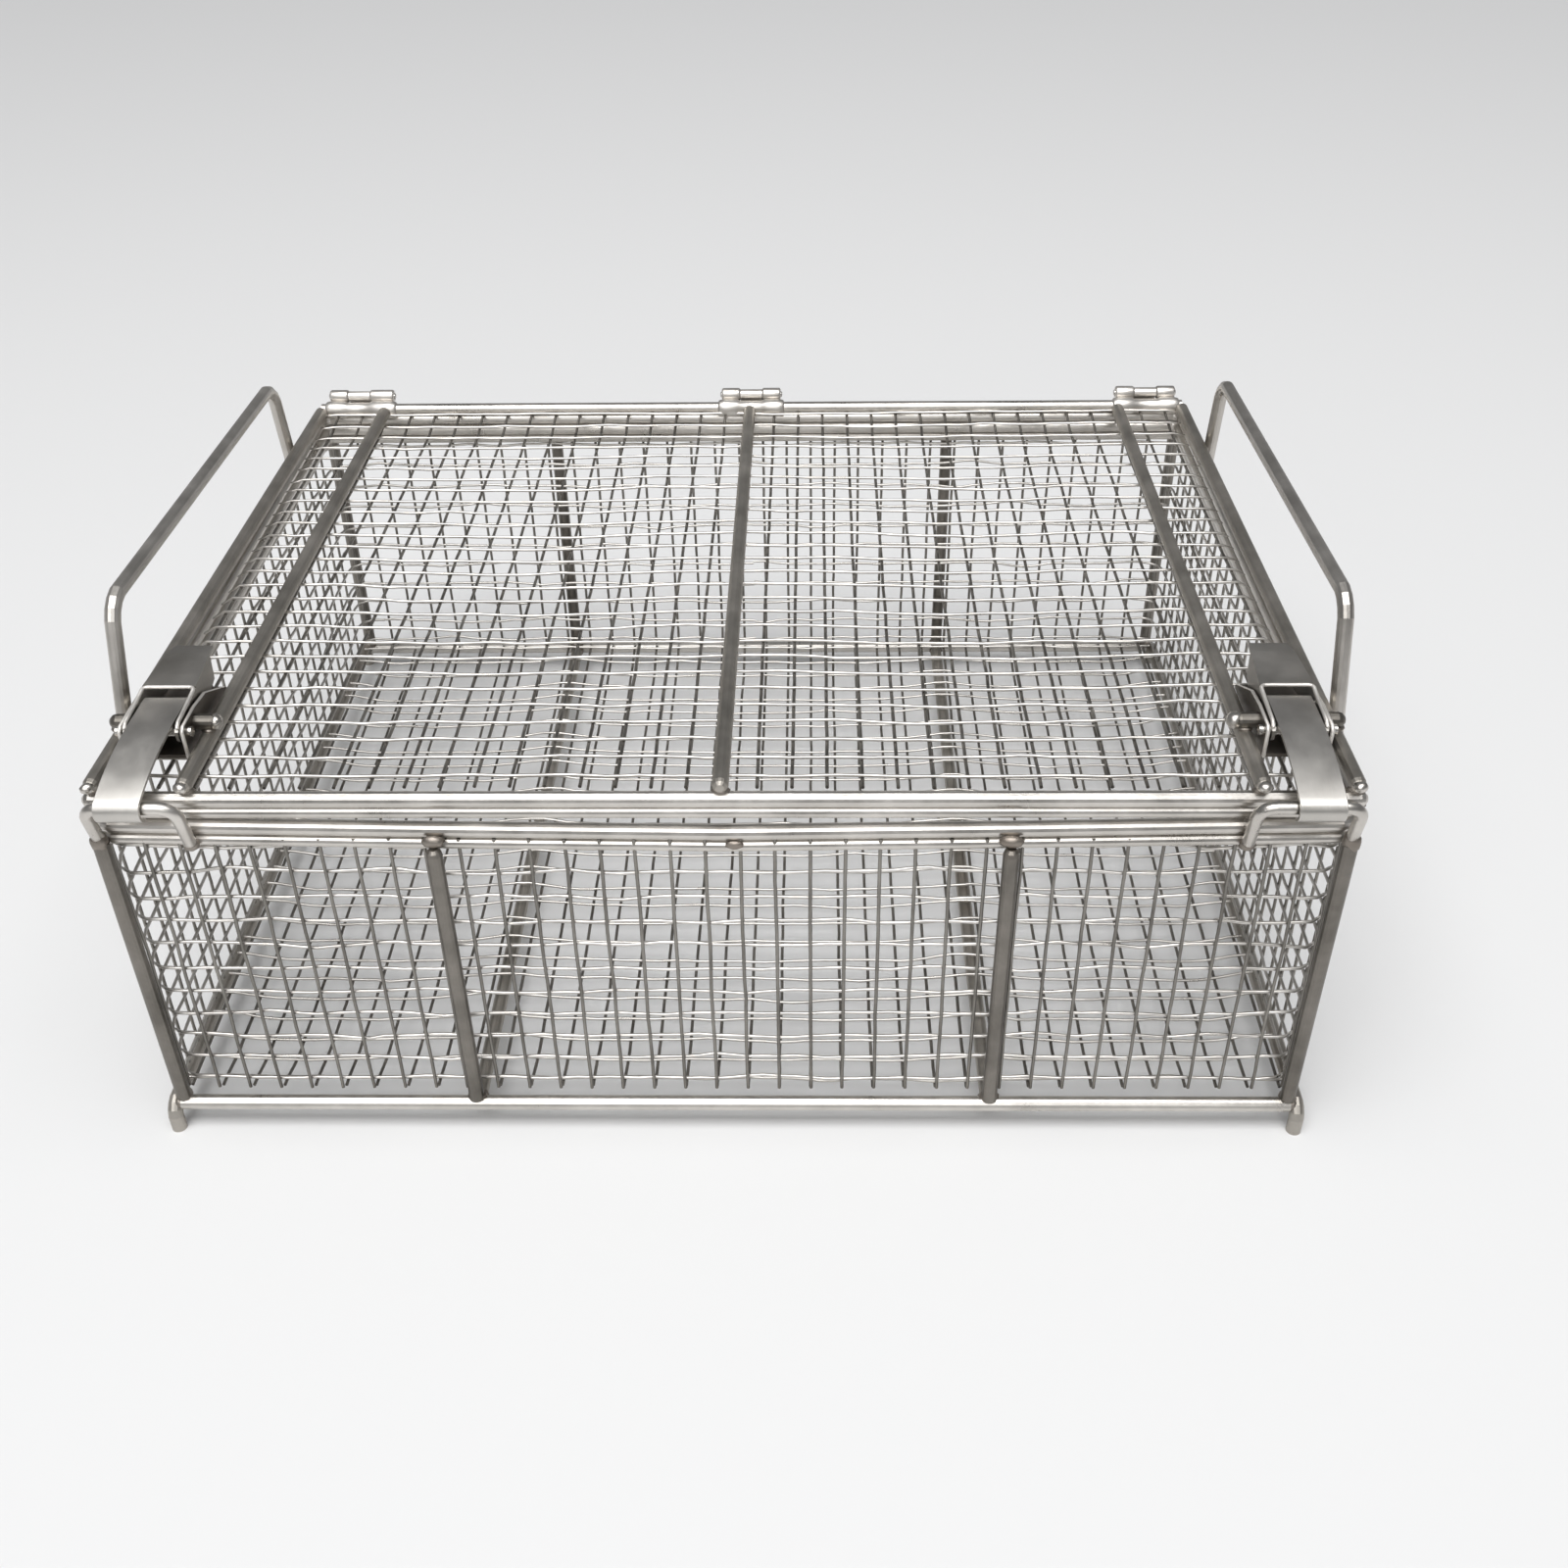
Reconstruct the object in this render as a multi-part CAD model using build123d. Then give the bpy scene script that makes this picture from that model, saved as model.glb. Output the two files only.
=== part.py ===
from build123d import *
import os
from math import acos, asin, atan2, cos, degrees, pi, radians, sin, sqrt, tan

# Autoclave basket: a welded rod frame lined with welded wire mesh, a mesh lid on three hinges
# at the back and two over-centre latches at the front corners.
# Millimetres, +Z up, the four feet stand on Z = 0, the origin is midway between them,
# the latches are at the front (-Y).

# ---- frame of the basket -------------------------------------------------------------------
rod_r = 2.0                    # main rods, 4 mm
thin_r = 1.6                   # rings and catches, 3.2 mm
half_x = 150.8                 # axis of the upper rim, side runs
half_y = 114.0                 # axis of the upper rim, front and back runs
rim_corner = 3.2               # bend of the rims at the corners, on the axis
rim_sag = 2.5                  # the front rims hang this much lower in the middle
seat = 0.3                     # gap between faces of different bodies
foot_drop = 8.0                # floor rods above the feet
lid_lift = 104.7               # front-back lid rods above the floor rods

floor_z = foot_drop
lid_z = floor_z + lid_lift     # axis of the front-back lid rods at the front
lid_fall = 4.0                 # the same rods are this much lower at the back
front_bar_z = lid_z - 2 * rod_r
ring_z = front_bar_z - rod_r - thin_r
rim_z = ring_z - thin_r - seat - rod_r
low_out = rod_r - thin_r       # keeps the outer faces of the two rims flush
low_z = rim_z - rod_r - thin_r
sides = 16                     # faces round a bent or welded rod, flats up and sideways
bend_steps = 4                 # kinks in each bend

# ---- uprights and floor --------------------------------------------------------------------
corner_x = half_x - 0.6
middle_x = half_x * 0.4622
frame_y = half_y + 2 * rod_r   # uprights lie on the outside of the rims
corner_y = frame_y - 0.3
corner_top = lid_z - 14.5
middle_top = lid_z - 16.0
cross_x = middle_x - 0.2
side_x = half_x + 2.2          # side floor rods, bent down into feet
foot_y = frame_y + 2.0
foot_bend = 4.0

# ---- mesh lining ---------------------------------------------------------------------------
mesh_t = 1.0
mesh_bar = 1.0
mesh_y = half_y + 1.65         # outer face, front and back
mesh_x = half_x + 1.4          # outer face, sides
mesh_z = floor_z + rod_r
front_cells = (8, 2)
side_cells = (6, 2)
floor_cells = (8, 5)
lid_cells = (8, 5)

# ---- handles -------------------------------------------------------------------------------
handle_x = half_x + 2 * rod_r
handle_foot_z = lid_z - 13.0
handle_high = 24.5             # front bend above the lid rods
handle_low = 19.5              # back bend above the lid rods
handle_front = (31.5 - half_y, 45.0 - half_y, lid_z + handle_high)    # foot y, bend y, bend z
handle_back = (half_y - 29.5, half_y - 35.0, lid_z + handle_low)
handle_bend = 9.0

# ---- latches -------------------------------------------------------------------------------
latch_x = half_x - 11.7
base_half = 8.2
sheet = 1.0
side_play = 0.45               # free play of the lever in the base, and of the strap in it
base_pin = (16.5 - half_y, lid_z + 4.5)
base_pin_r = 1.3
base_pin_half = base_half + 1.2
base_front = 14.3 - half_y
base_back = 45.0 - half_y
base_low = lid_z - 2.0
run = 0.05                     # running clearance of pins, on the radius
lever_t = 0.8
lever_half = base_half - sheet - side_play     # at the front edge of the top plate
crease_half = lever_half - 1.15
lip_half = lever_half - 2.0
plate_front = (30.5 - half_y, lid_z + 8.2)
plate_crease = (46.0 - half_y, lid_z + 8.2)
plate_lip = (51.0 - half_y, lid_z + 7.4)
strap_half = lever_half - lever_t - side_play
strap_t = 0.9
strap_pin = (26.8 - half_y, lid_z + 5.3)
strap_pin_r = 1.0
strap_lean = (2.0, 0.8)        # outward lean of the left and right straps at the hook
catch_bar = (-7.0 - half_y, lid_z - 1.4)
catch_out = corner_x
catch_in = corner_x - 21.7
catch_foot = (-3.65 - half_y, corner_top + 0.45)
catch_bend = 4.0
hook_r = thin_r + 0.8          # inside of the rolled hook
hook_turn = (118.0, 255.0)     # the roll starts behind the top of the bar, ends under it
latch_rod_y = 22.0 - half_y
latch_rod_ends = (latch_x - 14.1, latch_x + 12.9)

# ---- lid -----------------------------------------------------------------------------------
inner_x = corner_x - 22.2
lid_rods_x = (-corner_x, -inner_x, 0.0, inner_x, corner_x)
lid_front = -1.2 - half_y
front_bar_half = half_x + 2.2
back_bar_half = half_x - 0.3
sleeve_t = 0.9
sleeve_r = rod_r + sleeve_t
lid_back = half_y - sleeve_r
lid_angle = degrees(asin(lid_fall / (2 * half_y)))

# ---- hinges --------------------------------------------------------------------------------
hinge_x = (13.3 - half_x, 0.5, half_x - 12.8)
hinge_half = 12.5
knuckle_half = 3.9
knuckle_r = 1.75
pin_r = 0.9
pin_y = half_y + 3.8
pin_z = front_bar_z + 3.3
plate_t = 0.9

parts = {}


def rod(start, end, radius):
    # Straight round rod.
    direction = Vector(*end) - Vector(*start)
    length = direction.length
    return Plane(origin=start, z_dir=direction) * (Pos(0, 0, length / 2) * Cylinder(radius, length))


def bends(points, bend, closed=False):
    # Corner points exchanged for a few kinks that follow a bend of the given radius.
    points = [Vector(*p) for p in points]
    n = len(points)
    out = []
    for i, corner in enumerate(points):
        if not closed and i in (0, n - 1):
            out.append(corner)
            continue
        before = (corner - points[i - 1]).normalized()
        after = (points[(i + 1) % n] - corner).normalized()
        angle = acos(max(-1.0, min(1.0, before.dot(after))))
        if angle < 0.1:
            out.append(corner)
            continue
        tangent = corner - before * (bend * tan(angle / 2))
        center = corner + (after - before).normalized() * (bend / cos(angle / 2))
        radial = (tangent - center).normalized()
        reach = bend / cos(angle / (2 * bend_steps))
        for k in range(bend_steps):
            turn = angle * (k + 0.5) / bend_steps
            out.append(center + (radial * cos(turn) + before * sin(turn)) * reach)
    return out


def run_of_rod(points, radius, closed=False, domed=(False, False)):
    # Rod of many flats through the points, mitred at each kink; a domed end is drawn in.
    points = [Vector(*p) if isinstance(p, tuple) else p for p in points]
    n = len(points)
    count = n if closed else n - 1
    ways = [(points[(i + 1) % n] - points[i]).normalized() for i in range(count)]
    first = ways[0]
    up = Vector(0, 0, 1) if abs(first.Z) < 0.9 else Vector(0, 1, 0)
    across = first.cross(up).normalized()
    up = across.cross(first)
    reach = radius / cos(pi / sides)
    angles = [2 * pi * (k + 0.5) / sides for k in range(sides)]
    spokes = [across * (reach * cos(a)) + up * (reach * sin(a)) for a in angles]
    loops = []
    if domed[0]:
        for back, scale in ((0.0, 0.5), (0.35, 0.86), (0.85, 1.0)):
            at = points[0] + first * (back * radius)
            loops.append([at + v * scale for v in spokes])
    else:
        loops.append([points[0] + v for v in spokes])
    for i in range(1, n if closed else n - 1):
        normal = (ways[i - 1] + ways[i]).normalized()
        slope = ways[i - 1].dot(normal)
        loops.append([v + ways[i - 1] * ((points[i] - v).dot(normal) / slope) for v in loops[-1]])
    if not closed:
        last = ways[-1]
        ends = [v + last * (points[-1] - v).dot(last) for v in loops[-1]]
        if domed[1]:
            for back, scale in ((0.85, 1.0), (0.35, 0.86), (0.0, 0.5)):
                at = points[-1] - last * (back * radius)
                loops.append([at + (v - points[-1]) * scale for v in ends])
        else:
            loops.append(ends)
    faces = []
    rings = len(loops)
    for i in range(rings if closed else rings - 1):
        a = loops[i]
        b = loops[(i + 1) % rings]
        for k in range(sides):
            m = (k + 1) % sides
            faces.append(Face(Wire.make_polygon([a[k], a[m], b[m], b[k]])))
    if not closed:
        faces.append(Face(Wire.make_polygon(loops[0])))
        faces.append(Face(Wire.make_polygon(loops[-1])))
    return Solid(Shell(faces))


def ring(hx, hy, z, radius, corner, sag=0.0):
    # Closed ring of rod with rounded corners; the front run may hang in the middle.
    corners = bends(((hx, hy, z), (hx, -hy, z), (-hx, -hy, z), (-hx, hy, z)), corner, True)
    points = [Vector(0, hy, z)] + corners
    if sag:
        half = bend_steps * 2
        hang = ((0.5, 0.55), (0.0, 1.0), (-0.5, 0.55))
        low = [Vector(hx * at, -hy, z - sag * part) for at, part in hang]
        points = points[:1 + half] + low + points[1 + half:]
    return run_of_rod(points, radius, closed=True)


def grid(width, height, cells, thickness):
    # Flat lattice of square bars standing for the wire mesh, centred, lying in XY.
    nx, ny = (round(n) for n in cells)
    gap_x = (width - (nx + 1) * mesh_bar) / nx
    gap_y = (height - (ny + 1) * mesh_bar) / ny
    face = Rectangle(width, height)
    face -= GridLocations(gap_x + mesh_bar, gap_y + mesh_bar, nx, ny) * Rectangle(gap_x, gap_y)
    return extrude(face, amount=thickness)


def plate(points, x_from, x_to, holes=()):
    # Flat plate cut from a (y, z) outline, lying between two X planes; holes are (y, z, radius).
    plane = Plane(origin=(x_from, 0, 0), x_dir=(0, 1, 0), z_dir=(1, 0, 0))
    face = make_face(Polyline(*points, close=True))
    for y, z, r in holes:
        face -= Pos(y, z) * Circle(r)
    return extrude(plane * face, amount=x_to - x_from)


def disc(center, radius, x_from, x_to):
    # Round bar along X.
    return rod((x_from, *center), (x_to, *center), radius)


def flats(center, radius, x_from, x_to):
    # Bar of many flats along X.
    reach = radius / cos(pi / sides)
    angles = [2 * pi * (k + 0.5) / sides for k in range(sides)]
    points = [(center[0] + reach * cos(a), center[1] + reach * sin(a)) for a in angles]
    return plate(points, x_from, x_to)


def strip(line, thickness, x_from, x_to):
    # Bent sheet: the (y, z) centre line thickened on both sides and drawn out along X.
    line = [Vector(*p) for p in line]
    near = []
    far = []
    for i, at in enumerate(line):
        before = (at - line[i - 1]).normalized() if i else (line[1] - at).normalized()
        after = (line[i + 1] - at).normalized() if i < len(line) - 1 else before
        along = (before + after).normalized()
        side = Vector(-along.Y, along.X) * (thickness / 2 / along.dot(before))
        near.append(at + side)
        far.append(at - side)
    outline = [(v.X, v.Y) for v in near + far[::-1]]
    return plate(outline, x_from, x_to)


def arc_points(center, radius, start, end, steps):
    # Points on an arc, angles in degrees.
    angles = [radians(start + (end - start) * k / steps) for k in range(steps + 1)]
    return [(center[0] + radius * cos(a), center[1] + radius * sin(a)) for a in angles]


# ---- basket --------------------------------------------------------------------------------

def make_rims():
    parts["rim_upper"] = ring(half_x, half_y, rim_z, rod_r, rim_corner, rim_sag)
    parts["rim_lower"] = ring(half_x + low_out, half_y + low_out, low_z, thin_r,
                              rim_corner + low_out, rim_sag)


def make_uprights():
    foot = floor_z + rod_r
    for fb, side_y in (("front", -1), ("back", 1)):
        for lr, side in (("left", -1), ("right", 1)):
            at = (side * corner_x, side_y * corner_y)
            parts[f"upright_corner_{fb}_{lr}"] = run_of_rod(
                ((*at, foot), (*at, corner_top)), rod_r, domed=(False, side_y > 0))
            at = (side * middle_x, side_y * frame_y)
            parts[f"upright_mid_{fb}_{lr}"] = run_of_rod(
                ((*at, foot), (*at, middle_top)), rod_r, domed=(False, True))


def make_floor_rods():
    reach = side_x - rod_r
    for fb, side_y in (("front", -1), ("back", 1)):
        y = side_y * frame_y
        parts[f"floor_rod_{fb}"] = run_of_rod(((-reach, y, floor_z), (reach, y, floor_z)), rod_r)
    for lr, side in (("left", -1), ("right", 1)):
        x = side * cross_x
        inner = frame_y - rod_r
        parts[f"floor_rod_cross_{lr}"] = run_of_rod(
            ((x, -inner, floor_z), (x, inner, floor_z)), rod_r)
        x = side * side_x
        points = ((x, -foot_y, 0), (x, -foot_y, floor_z), (x, foot_y, floor_z), (x, foot_y, 0))
        parts[f"floor_rod_side_{lr}"] = run_of_rod(bends(points, foot_bend), rod_r)


def make_mesh():
    low_edge = low_z - thin_r - rim_sag - seat
    height = low_edge - mesh_z
    wide = 2 * (mesh_x - mesh_t)
    panel = grid(wide, height, front_cells, mesh_t)
    stand = Pos(0, -mesh_y + mesh_t, mesh_z + height / 2) * Rot(90, 0, 0)
    parts["mesh_front"] = stand * panel
    parts["mesh_back"] = Pos(0, 2 * mesh_y - mesh_t, 0) * stand * panel
    side_edge = low_z - thin_r - seat
    height = side_edge - mesh_z
    panel = grid(2 * mesh_y, height, side_cells, mesh_t)
    for lr, x in (("left", -mesh_x), ("right", mesh_x - mesh_t)):
        stand = Plane(origin=(x, 0, mesh_z + height / 2), x_dir=(0, 1, 0), z_dir=(1, 0, 0))
        parts[f"mesh_{lr}"] = stand * panel
    panel = grid(wide, 2 * (mesh_y - mesh_t), floor_cells, mesh_t)
    parts["mesh_floor"] = Pos(0, 0, mesh_z) * panel


def make_handles():
    for lr, side in (("left", -1), ("right", 1)):
        x = side * handle_x
        points = ((x, handle_front[0], handle_foot_z), (x, handle_front[1], handle_front[2]),
                  (x, handle_back[1], handle_back[2]), (x, handle_back[0], handle_foot_z))
        parts[f"handle_{lr}"] = run_of_rod(bends(points, handle_bend), rod_r)


def make_catches():
    inner_foot = (catch_foot[0], low_z - thin_r - 0.8)
    for lr, side in (("left", -1), ("right", 1)):
        points = ((side * catch_out, *catch_foot), (side * catch_out, *catch_bar),
                  (side * catch_in, *catch_bar), (side * catch_in, *inner_foot))
        parts[f"catch_{lr}"] = run_of_rod(bends(points, catch_bend), thin_r)


# ---- hinges --------------------------------------------------------------------------------

def make_hinges():
    names = ("left", "middle", "right")
    for name, x in zip(names, hinge_x):
        x_in = x - knuckle_half + seat / 2
        x_out = x + knuckle_half - seat / 2
        top = pin_z
        knee = rim_z + rod_r + 1.4
        jog = (pin_y - plate_t / 2) - (half_y + rod_r)
        rear = half_y + rod_r + plate_t
        points = ((pin_y - plate_t / 2, top), (pin_y - plate_t / 2, knee),
                  (pin_y - plate_t / 2 - jog, knee - 1.4), (rear - plate_t, low_z - thin_r),
                  (rear, low_z - thin_r), (rear, knee - 1.7), (rear + jog, knee - 0.3),
                  (rear + jog, top))
        leaf = plate(points, x_in, x_out)
        leaf += flats((pin_y, pin_z), knuckle_r, x_in, x_out)
        leaf -= disc((pin_y, pin_z), pin_r, x_in - 1, x_out + 1)
        parts[f"hinge_{name}_basket_leaf"] = leaf
        parts[f"hinge_{name}_pin"] = disc((pin_y, pin_z), pin_r, x - hinge_half - 0.3,
                                          x + hinge_half + 0.3)
        x0 = x - hinge_half
        x1 = x + hinge_half
        shell = flats((half_y, front_bar_z), sleeve_r, x0, x1)
        under = front_bar_z - rod_r * 0.5
        shell -= Pos(x, half_y, under - 5) * Box(3 * hinge_half, 4 * sleeve_r, 10)
        web = plate(web_points(), x0, x1)
        knuckle = flats((pin_y, pin_z), knuckle_r + 0.1, x0, x1)
        gap = Pos(x, pin_y + 0.5, pin_z) * Box(2 * knuckle_half + seat, 5 * knuckle_r, 9 * knuckle_r)
        tube = (web + knuckle) - gap
        leaf = shell + (tube - flats((half_y, front_bar_z), sleeve_r - 0.3, x0 - 1, x1 + 1))
        leaf -= disc((half_y, front_bar_z), rod_r, x0 - 1, x1 + 1)
        leaf -= disc((pin_y, pin_z), pin_r + run, x0 - 1, x1 + 1)
        parts[f"hinge_{name}_lid_leaf"] = leaf


def web_points():
    # Tangent strip on top, from the sleeve round the back bar to the pin barrels.
    dy = pin_y - half_y
    dz = pin_z - front_bar_z
    span = sqrt(dy * dy + dz * dz)
    turn = atan2(dz, dy) + asin((sleeve_r - knuckle_r - 0.1) / span)
    tilt = turn - asin(2 * (sleeve_r - knuckle_r - 0.1) / span)
    ny = -sin(tilt)
    nz = cos(tilt)
    outer = knuckle_r + 0.1
    inner = outer - plate_t
    return ((half_y + ny * sleeve_r, front_bar_z + nz * sleeve_r),
            (pin_y + ny * outer, pin_z + nz * outer),
            (pin_y + ny * inner, pin_z + nz * inner),
            (half_y + ny * (sleeve_r - plate_t), front_bar_z + nz * (sleeve_r - plate_t)))


# ---- lid -----------------------------------------------------------------------------------

def lid_height(y):
    # Axis height of the front-back lid rods at a given y.
    return lid_z - lid_fall * (y + half_y) / (2 * half_y)


def make_lid():
    ends = ((-front_bar_half, -half_y, front_bar_z), (front_bar_half, -half_y, front_bar_z))
    parts["lid_bar_front"] = run_of_rod(ends, rod_r, domed=(True, True))
    parts["lid_bar_back"] = rod((-back_bar_half, half_y, front_bar_z),
                                (back_bar_half, half_y, front_bar_z), rod_r)
    parts["lid_ring"] = ring(half_x, half_y, ring_z, thin_r, rim_corner)
    names = ("edge_left", "inner_left", "middle", "inner_right", "edge_right")
    for name, x in zip(names, lid_rods_x):
        ends = ((x, lid_front, lid_height(lid_front)), (x, lid_back, lid_height(lid_back)))
        parts[f"lid_rod_{name}"] = run_of_rod(ends, rod_r, domed=(True, False))
    y0 = -half_y + rod_r + seat
    y1 = half_y - sleeve_r - seat
    width = 2 * (half_x - thin_r - seat)
    panel = grid(width, y1 - y0, lid_cells, mesh_t)
    middle = (y0 + y1) / 2
    under = lid_height(middle) - (rod_r + mesh_t) / cos(radians(lid_angle))
    parts["lid_mesh"] = Pos(0, middle, under) * Rot(-lid_angle, 0, 0) * panel


def make_latches():
    by, bz = base_pin
    rod_z = lid_height(latch_rod_y) + 2 * rod_r
    rod_at = (latch_rod_y, rod_z)
    ear = ((base_front, base_low), (base_front, bz + 1.3), (base_front + 1.1, bz + 2.2),
           (latch_rod_y + 2.0, bz + 2.2), (latch_rod_y + 10.0, bz + 1.1),
           (base_back, base_low + sheet), (base_back, base_low))
    # side of the lever: an eye round the base pin, a thin leg over the cross rod, a deep skirt
    flange = ((by - 2.4, bz - 1.2), (by - 2.4, bz + 1.2), (by - 0.9, bz + 2.6),
              (by + 2.0, bz + 2.9), (plate_front[0], plate_front[1] - 0.2),
              (plate_crease[0], plate_crease[1] - 0.2), (plate_crease[0] - 0.8, lid_z + 1.5),
              (plate_crease[0] - 6.0, lid_z + 0.7), (strap_pin[0] - 0.2, strap_pin[1] - 2.8),
              (strap_pin[0] - 1.6, strap_pin[1] - 2.4), (latch_rod_y + 2.6, rod_z + 0.6),
              (latch_rod_y + 2.0, rod_z + 2.25), (latch_rod_y - 1.8, rod_z + 2.25),
              (by + 2.9, bz + 1.1), (by + 2.5, bz - 0.5), (by + 1.7, bz - 1.9),
              (by + 0.3, bz - 2.5), (by - 1.3, bz - 2.3))
    top_line = (plate_front, plate_crease, plate_lip)
    for lr, side, lean in (("left", -1, strap_lean[0]), ("right", 1, strap_lean[1])):
        cx = side * latch_x
        # base: a channel between the two outer lid rods, threaded on its cross rod
        base = plate(ear, cx - base_half, cx - base_half + sheet, ((by, bz, base_pin_r),))
        base += plate(ear, cx + base_half - sheet, cx + base_half, ((by, bz, base_pin_r),))
        base += Pos(cx, (base_back + base_front) / 2, base_low + sheet / 2) * Box(
            2 * base_half, base_back - base_front, sheet)
        base -= flats(rod_at, rod_r, cx - base_half - 1, cx + base_half + 1)
        parts[f"latch_{lr}_base"] = base
        ends = sorted((side * latch_rod_ends[0], side * latch_rod_ends[1]))
        parts[f"latch_{lr}_cross_rod"] = run_of_rod(
            ((ends[0], *rod_at), (ends[1], *rod_at)), rod_r, domed=(True, True))
        parts[f"latch_{lr}_base_pin"] = disc(base_pin, base_pin_r, cx - base_pin_half,
                                             cx + base_pin_half)
        # lever: a folded channel drawn in towards its rear lip
        walls = lever_plan(cx, 0) - lever_plan(cx, lever_t)
        lever = plate(flange, cx - lever_half, cx + lever_half) & walls
        lever += strip(top_line, lever_t, cx - lever_half, cx + lever_half) & lever_plan(cx, 0)
        lever -= disc(base_pin, base_pin_r + run, cx - base_half, cx + base_half)
        lever -= flats(strap_pin, strap_pin_r, cx - base_half, cx + base_half)
        parts[f"latch_{lr}_lever"] = lever
        parts[f"latch_{lr}_strap_pin"] = disc(strap_pin, strap_pin_r, cx - lever_half,
                                              cx + lever_half)
        # strap: rolled round its pin, arched over the lid edge, hooked round the catch
        parts[f"latch_{lr}_strap"] = make_strap(cx, side * lean)


def lever_plan(cx, inset):
    # Tapered plan of the lever, drawn up as a prism.
    stations = ((base_pin[0] - 4.0, lever_half), (plate_front[0], lever_half),
                (plate_crease[0], crease_half), (plate_lip[0] + 1.0, lip_half))
    right = [(cx + half - inset, y) for y, half in stations]
    left = [(cx - half + inset, y) for y, half in stations]
    outline = make_face(Polyline(*right, *left[::-1], close=True))
    return Pos(0, 0, lid_z - 5) * extrude(outline, amount=25)


def make_strap(cx, lean):
    sy, sz = strap_pin
    hole_r = strap_pin_r + run
    mid = hole_r + strap_t / 2
    hook = hook_r + strap_t / 2
    hook_line = arc_points(catch_bar, hook, *hook_turn, 10)
    flat_end = (sy - 8.8, sz + mid)
    crease = hook_line[0]
    # gentle arch between the flat over the pin and the crease above the hook
    rise = 0.55
    arch = []
    for part in (0.25, 0.5, 0.75):
        y = flat_end[0] + (crease[0] - flat_end[0]) * part
        z = flat_end[1] + (crease[1] - flat_end[1]) * part + rise * 4 * part * (1 - part)
        arch.append((y, z))
    line = [(sy, sz + mid), flat_end, *arch, *hook_line]
    body = strip(line, strap_t, cx - 2 * strap_half, cx + 2 * strap_half)
    tip_y = catch_bar[0] - 2 * hook
    left = ((cx - strap_half, sy + 1), (cx - strap_half, sy - 6), (cx - strap_half + lean, tip_y))
    right = [(x + 2 * strap_half, y) for x, y in left]
    outline = make_face(Polyline(*left, *right[::-1], close=True))
    body &= Pos(0, 0, catch_bar[1] - 8) * extrude(outline, amount=30)
    body += flats(strap_pin, hole_r + strap_t, cx - strap_half, cx + strap_half)
    return body - disc(strap_pin, hole_r, cx - strap_half - 1, cx + strap_half + 1)


make_rims()
make_uprights()
make_floor_rods()
make_mesh()
make_handles()
make_catches()
make_hinges()
make_lid()
make_latches()

os.makedirs("parts", exist_ok=True)
for name, shape in parts.items():
    export_step(shape, f"parts/{name}.step")
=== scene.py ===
from math import cos, pi, radians, sin, tan

import bmesh
import bpy
import numpy as np
from mathutils import Euler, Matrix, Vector


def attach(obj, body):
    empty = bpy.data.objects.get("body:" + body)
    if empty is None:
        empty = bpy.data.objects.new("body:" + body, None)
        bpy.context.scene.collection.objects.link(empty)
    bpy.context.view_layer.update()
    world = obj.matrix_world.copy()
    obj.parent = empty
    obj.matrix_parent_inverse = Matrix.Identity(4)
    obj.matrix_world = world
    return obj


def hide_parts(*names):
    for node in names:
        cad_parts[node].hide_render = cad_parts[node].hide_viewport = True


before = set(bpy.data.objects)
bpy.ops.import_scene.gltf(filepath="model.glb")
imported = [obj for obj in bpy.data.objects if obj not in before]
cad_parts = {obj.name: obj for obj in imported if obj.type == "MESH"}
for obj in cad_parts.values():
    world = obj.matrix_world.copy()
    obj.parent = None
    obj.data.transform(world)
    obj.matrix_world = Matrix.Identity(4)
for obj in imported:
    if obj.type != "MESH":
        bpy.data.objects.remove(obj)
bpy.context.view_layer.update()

MM = 0.001

# ---- sizes shared with the solid model, in millimetres ---------------------------------------

ROD_R = 2.0                          # main rods
THIN_R = 1.6                         # rings and catches
HALF_X = 150.8                       # axis of the upper rim, side runs
HALF_Y = 114.0                       # axis of the upper rim, front and back runs
LID_Z = 112.7                        # axis of the front-back lid rods at the front
LID_FALL = 4.0                       # the same rods are this much lower at the back
SEAT = 0.3                           # gap between lid ring and upper rim

BAR_Z = LID_Z - 2 * ROD_R            # front and back bars of the lid
RING_Z = BAR_Z - ROD_R - THIN_R
RIM_Z = RING_Z - THIN_R - SEAT - ROD_R
LOW_RIM_Z = RIM_Z - ROD_R - THIN_R
FLOOR_Z = 8.0                        # floor rods
FLOOR_TOP = FLOOR_Z + ROD_R

FRAME_Y = HALF_Y + 2 * ROD_R         # uprights lie on the outside of the rims
CORNER_X = HALF_X - 0.6              # corner uprights and edge rods of the lid
MIDDLE_X = 69.7                      # middle uprights
CROSS_X = MIDDLE_X - 0.2             # cross rods of the floor
LID_INNER_X = 128.0                  # inner rods of the lid
HANDLE_FEET_Y = (31.5 - HALF_Y, HALF_Y - 29.5)

LATCH_X = HALF_X - 11.7              # middle of a latch
LATCH_ROD_Y = 22.0 - HALF_Y          # cross rod that carries a latch

# ---- sizes of the welded wire ------------------------------------------------------------------

MESH_PITCH = 8.5
LID_ROW_PITCH = 8.05
WALL_ROW_PITCH = 8.04
FLOOR_ROW_PITCH = 8.3
WIRE_R = 0.46
WIRE_SIDES = 8
POINTS_PER_CELL = 2

BELT_X = HALF_X + 0.7                # rounded rectangle that the wall wires follow
BELT_Y = HALF_Y + 1.0
BELT_R = 5.0
LONG_RUN = 2 * (BELT_X - BELT_R)
SHORT_RUN = 2 * (BELT_Y - BELT_R)
BELT_ARC = BELT_R * pi / 2
BELT_LENGTH = 2 * (LONG_RUN + SHORT_RUN + 2 * BELT_ARC)
WALL_MID_Z = 54.6


# ---- node helpers ---------------------------------------------------------------------------

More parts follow.
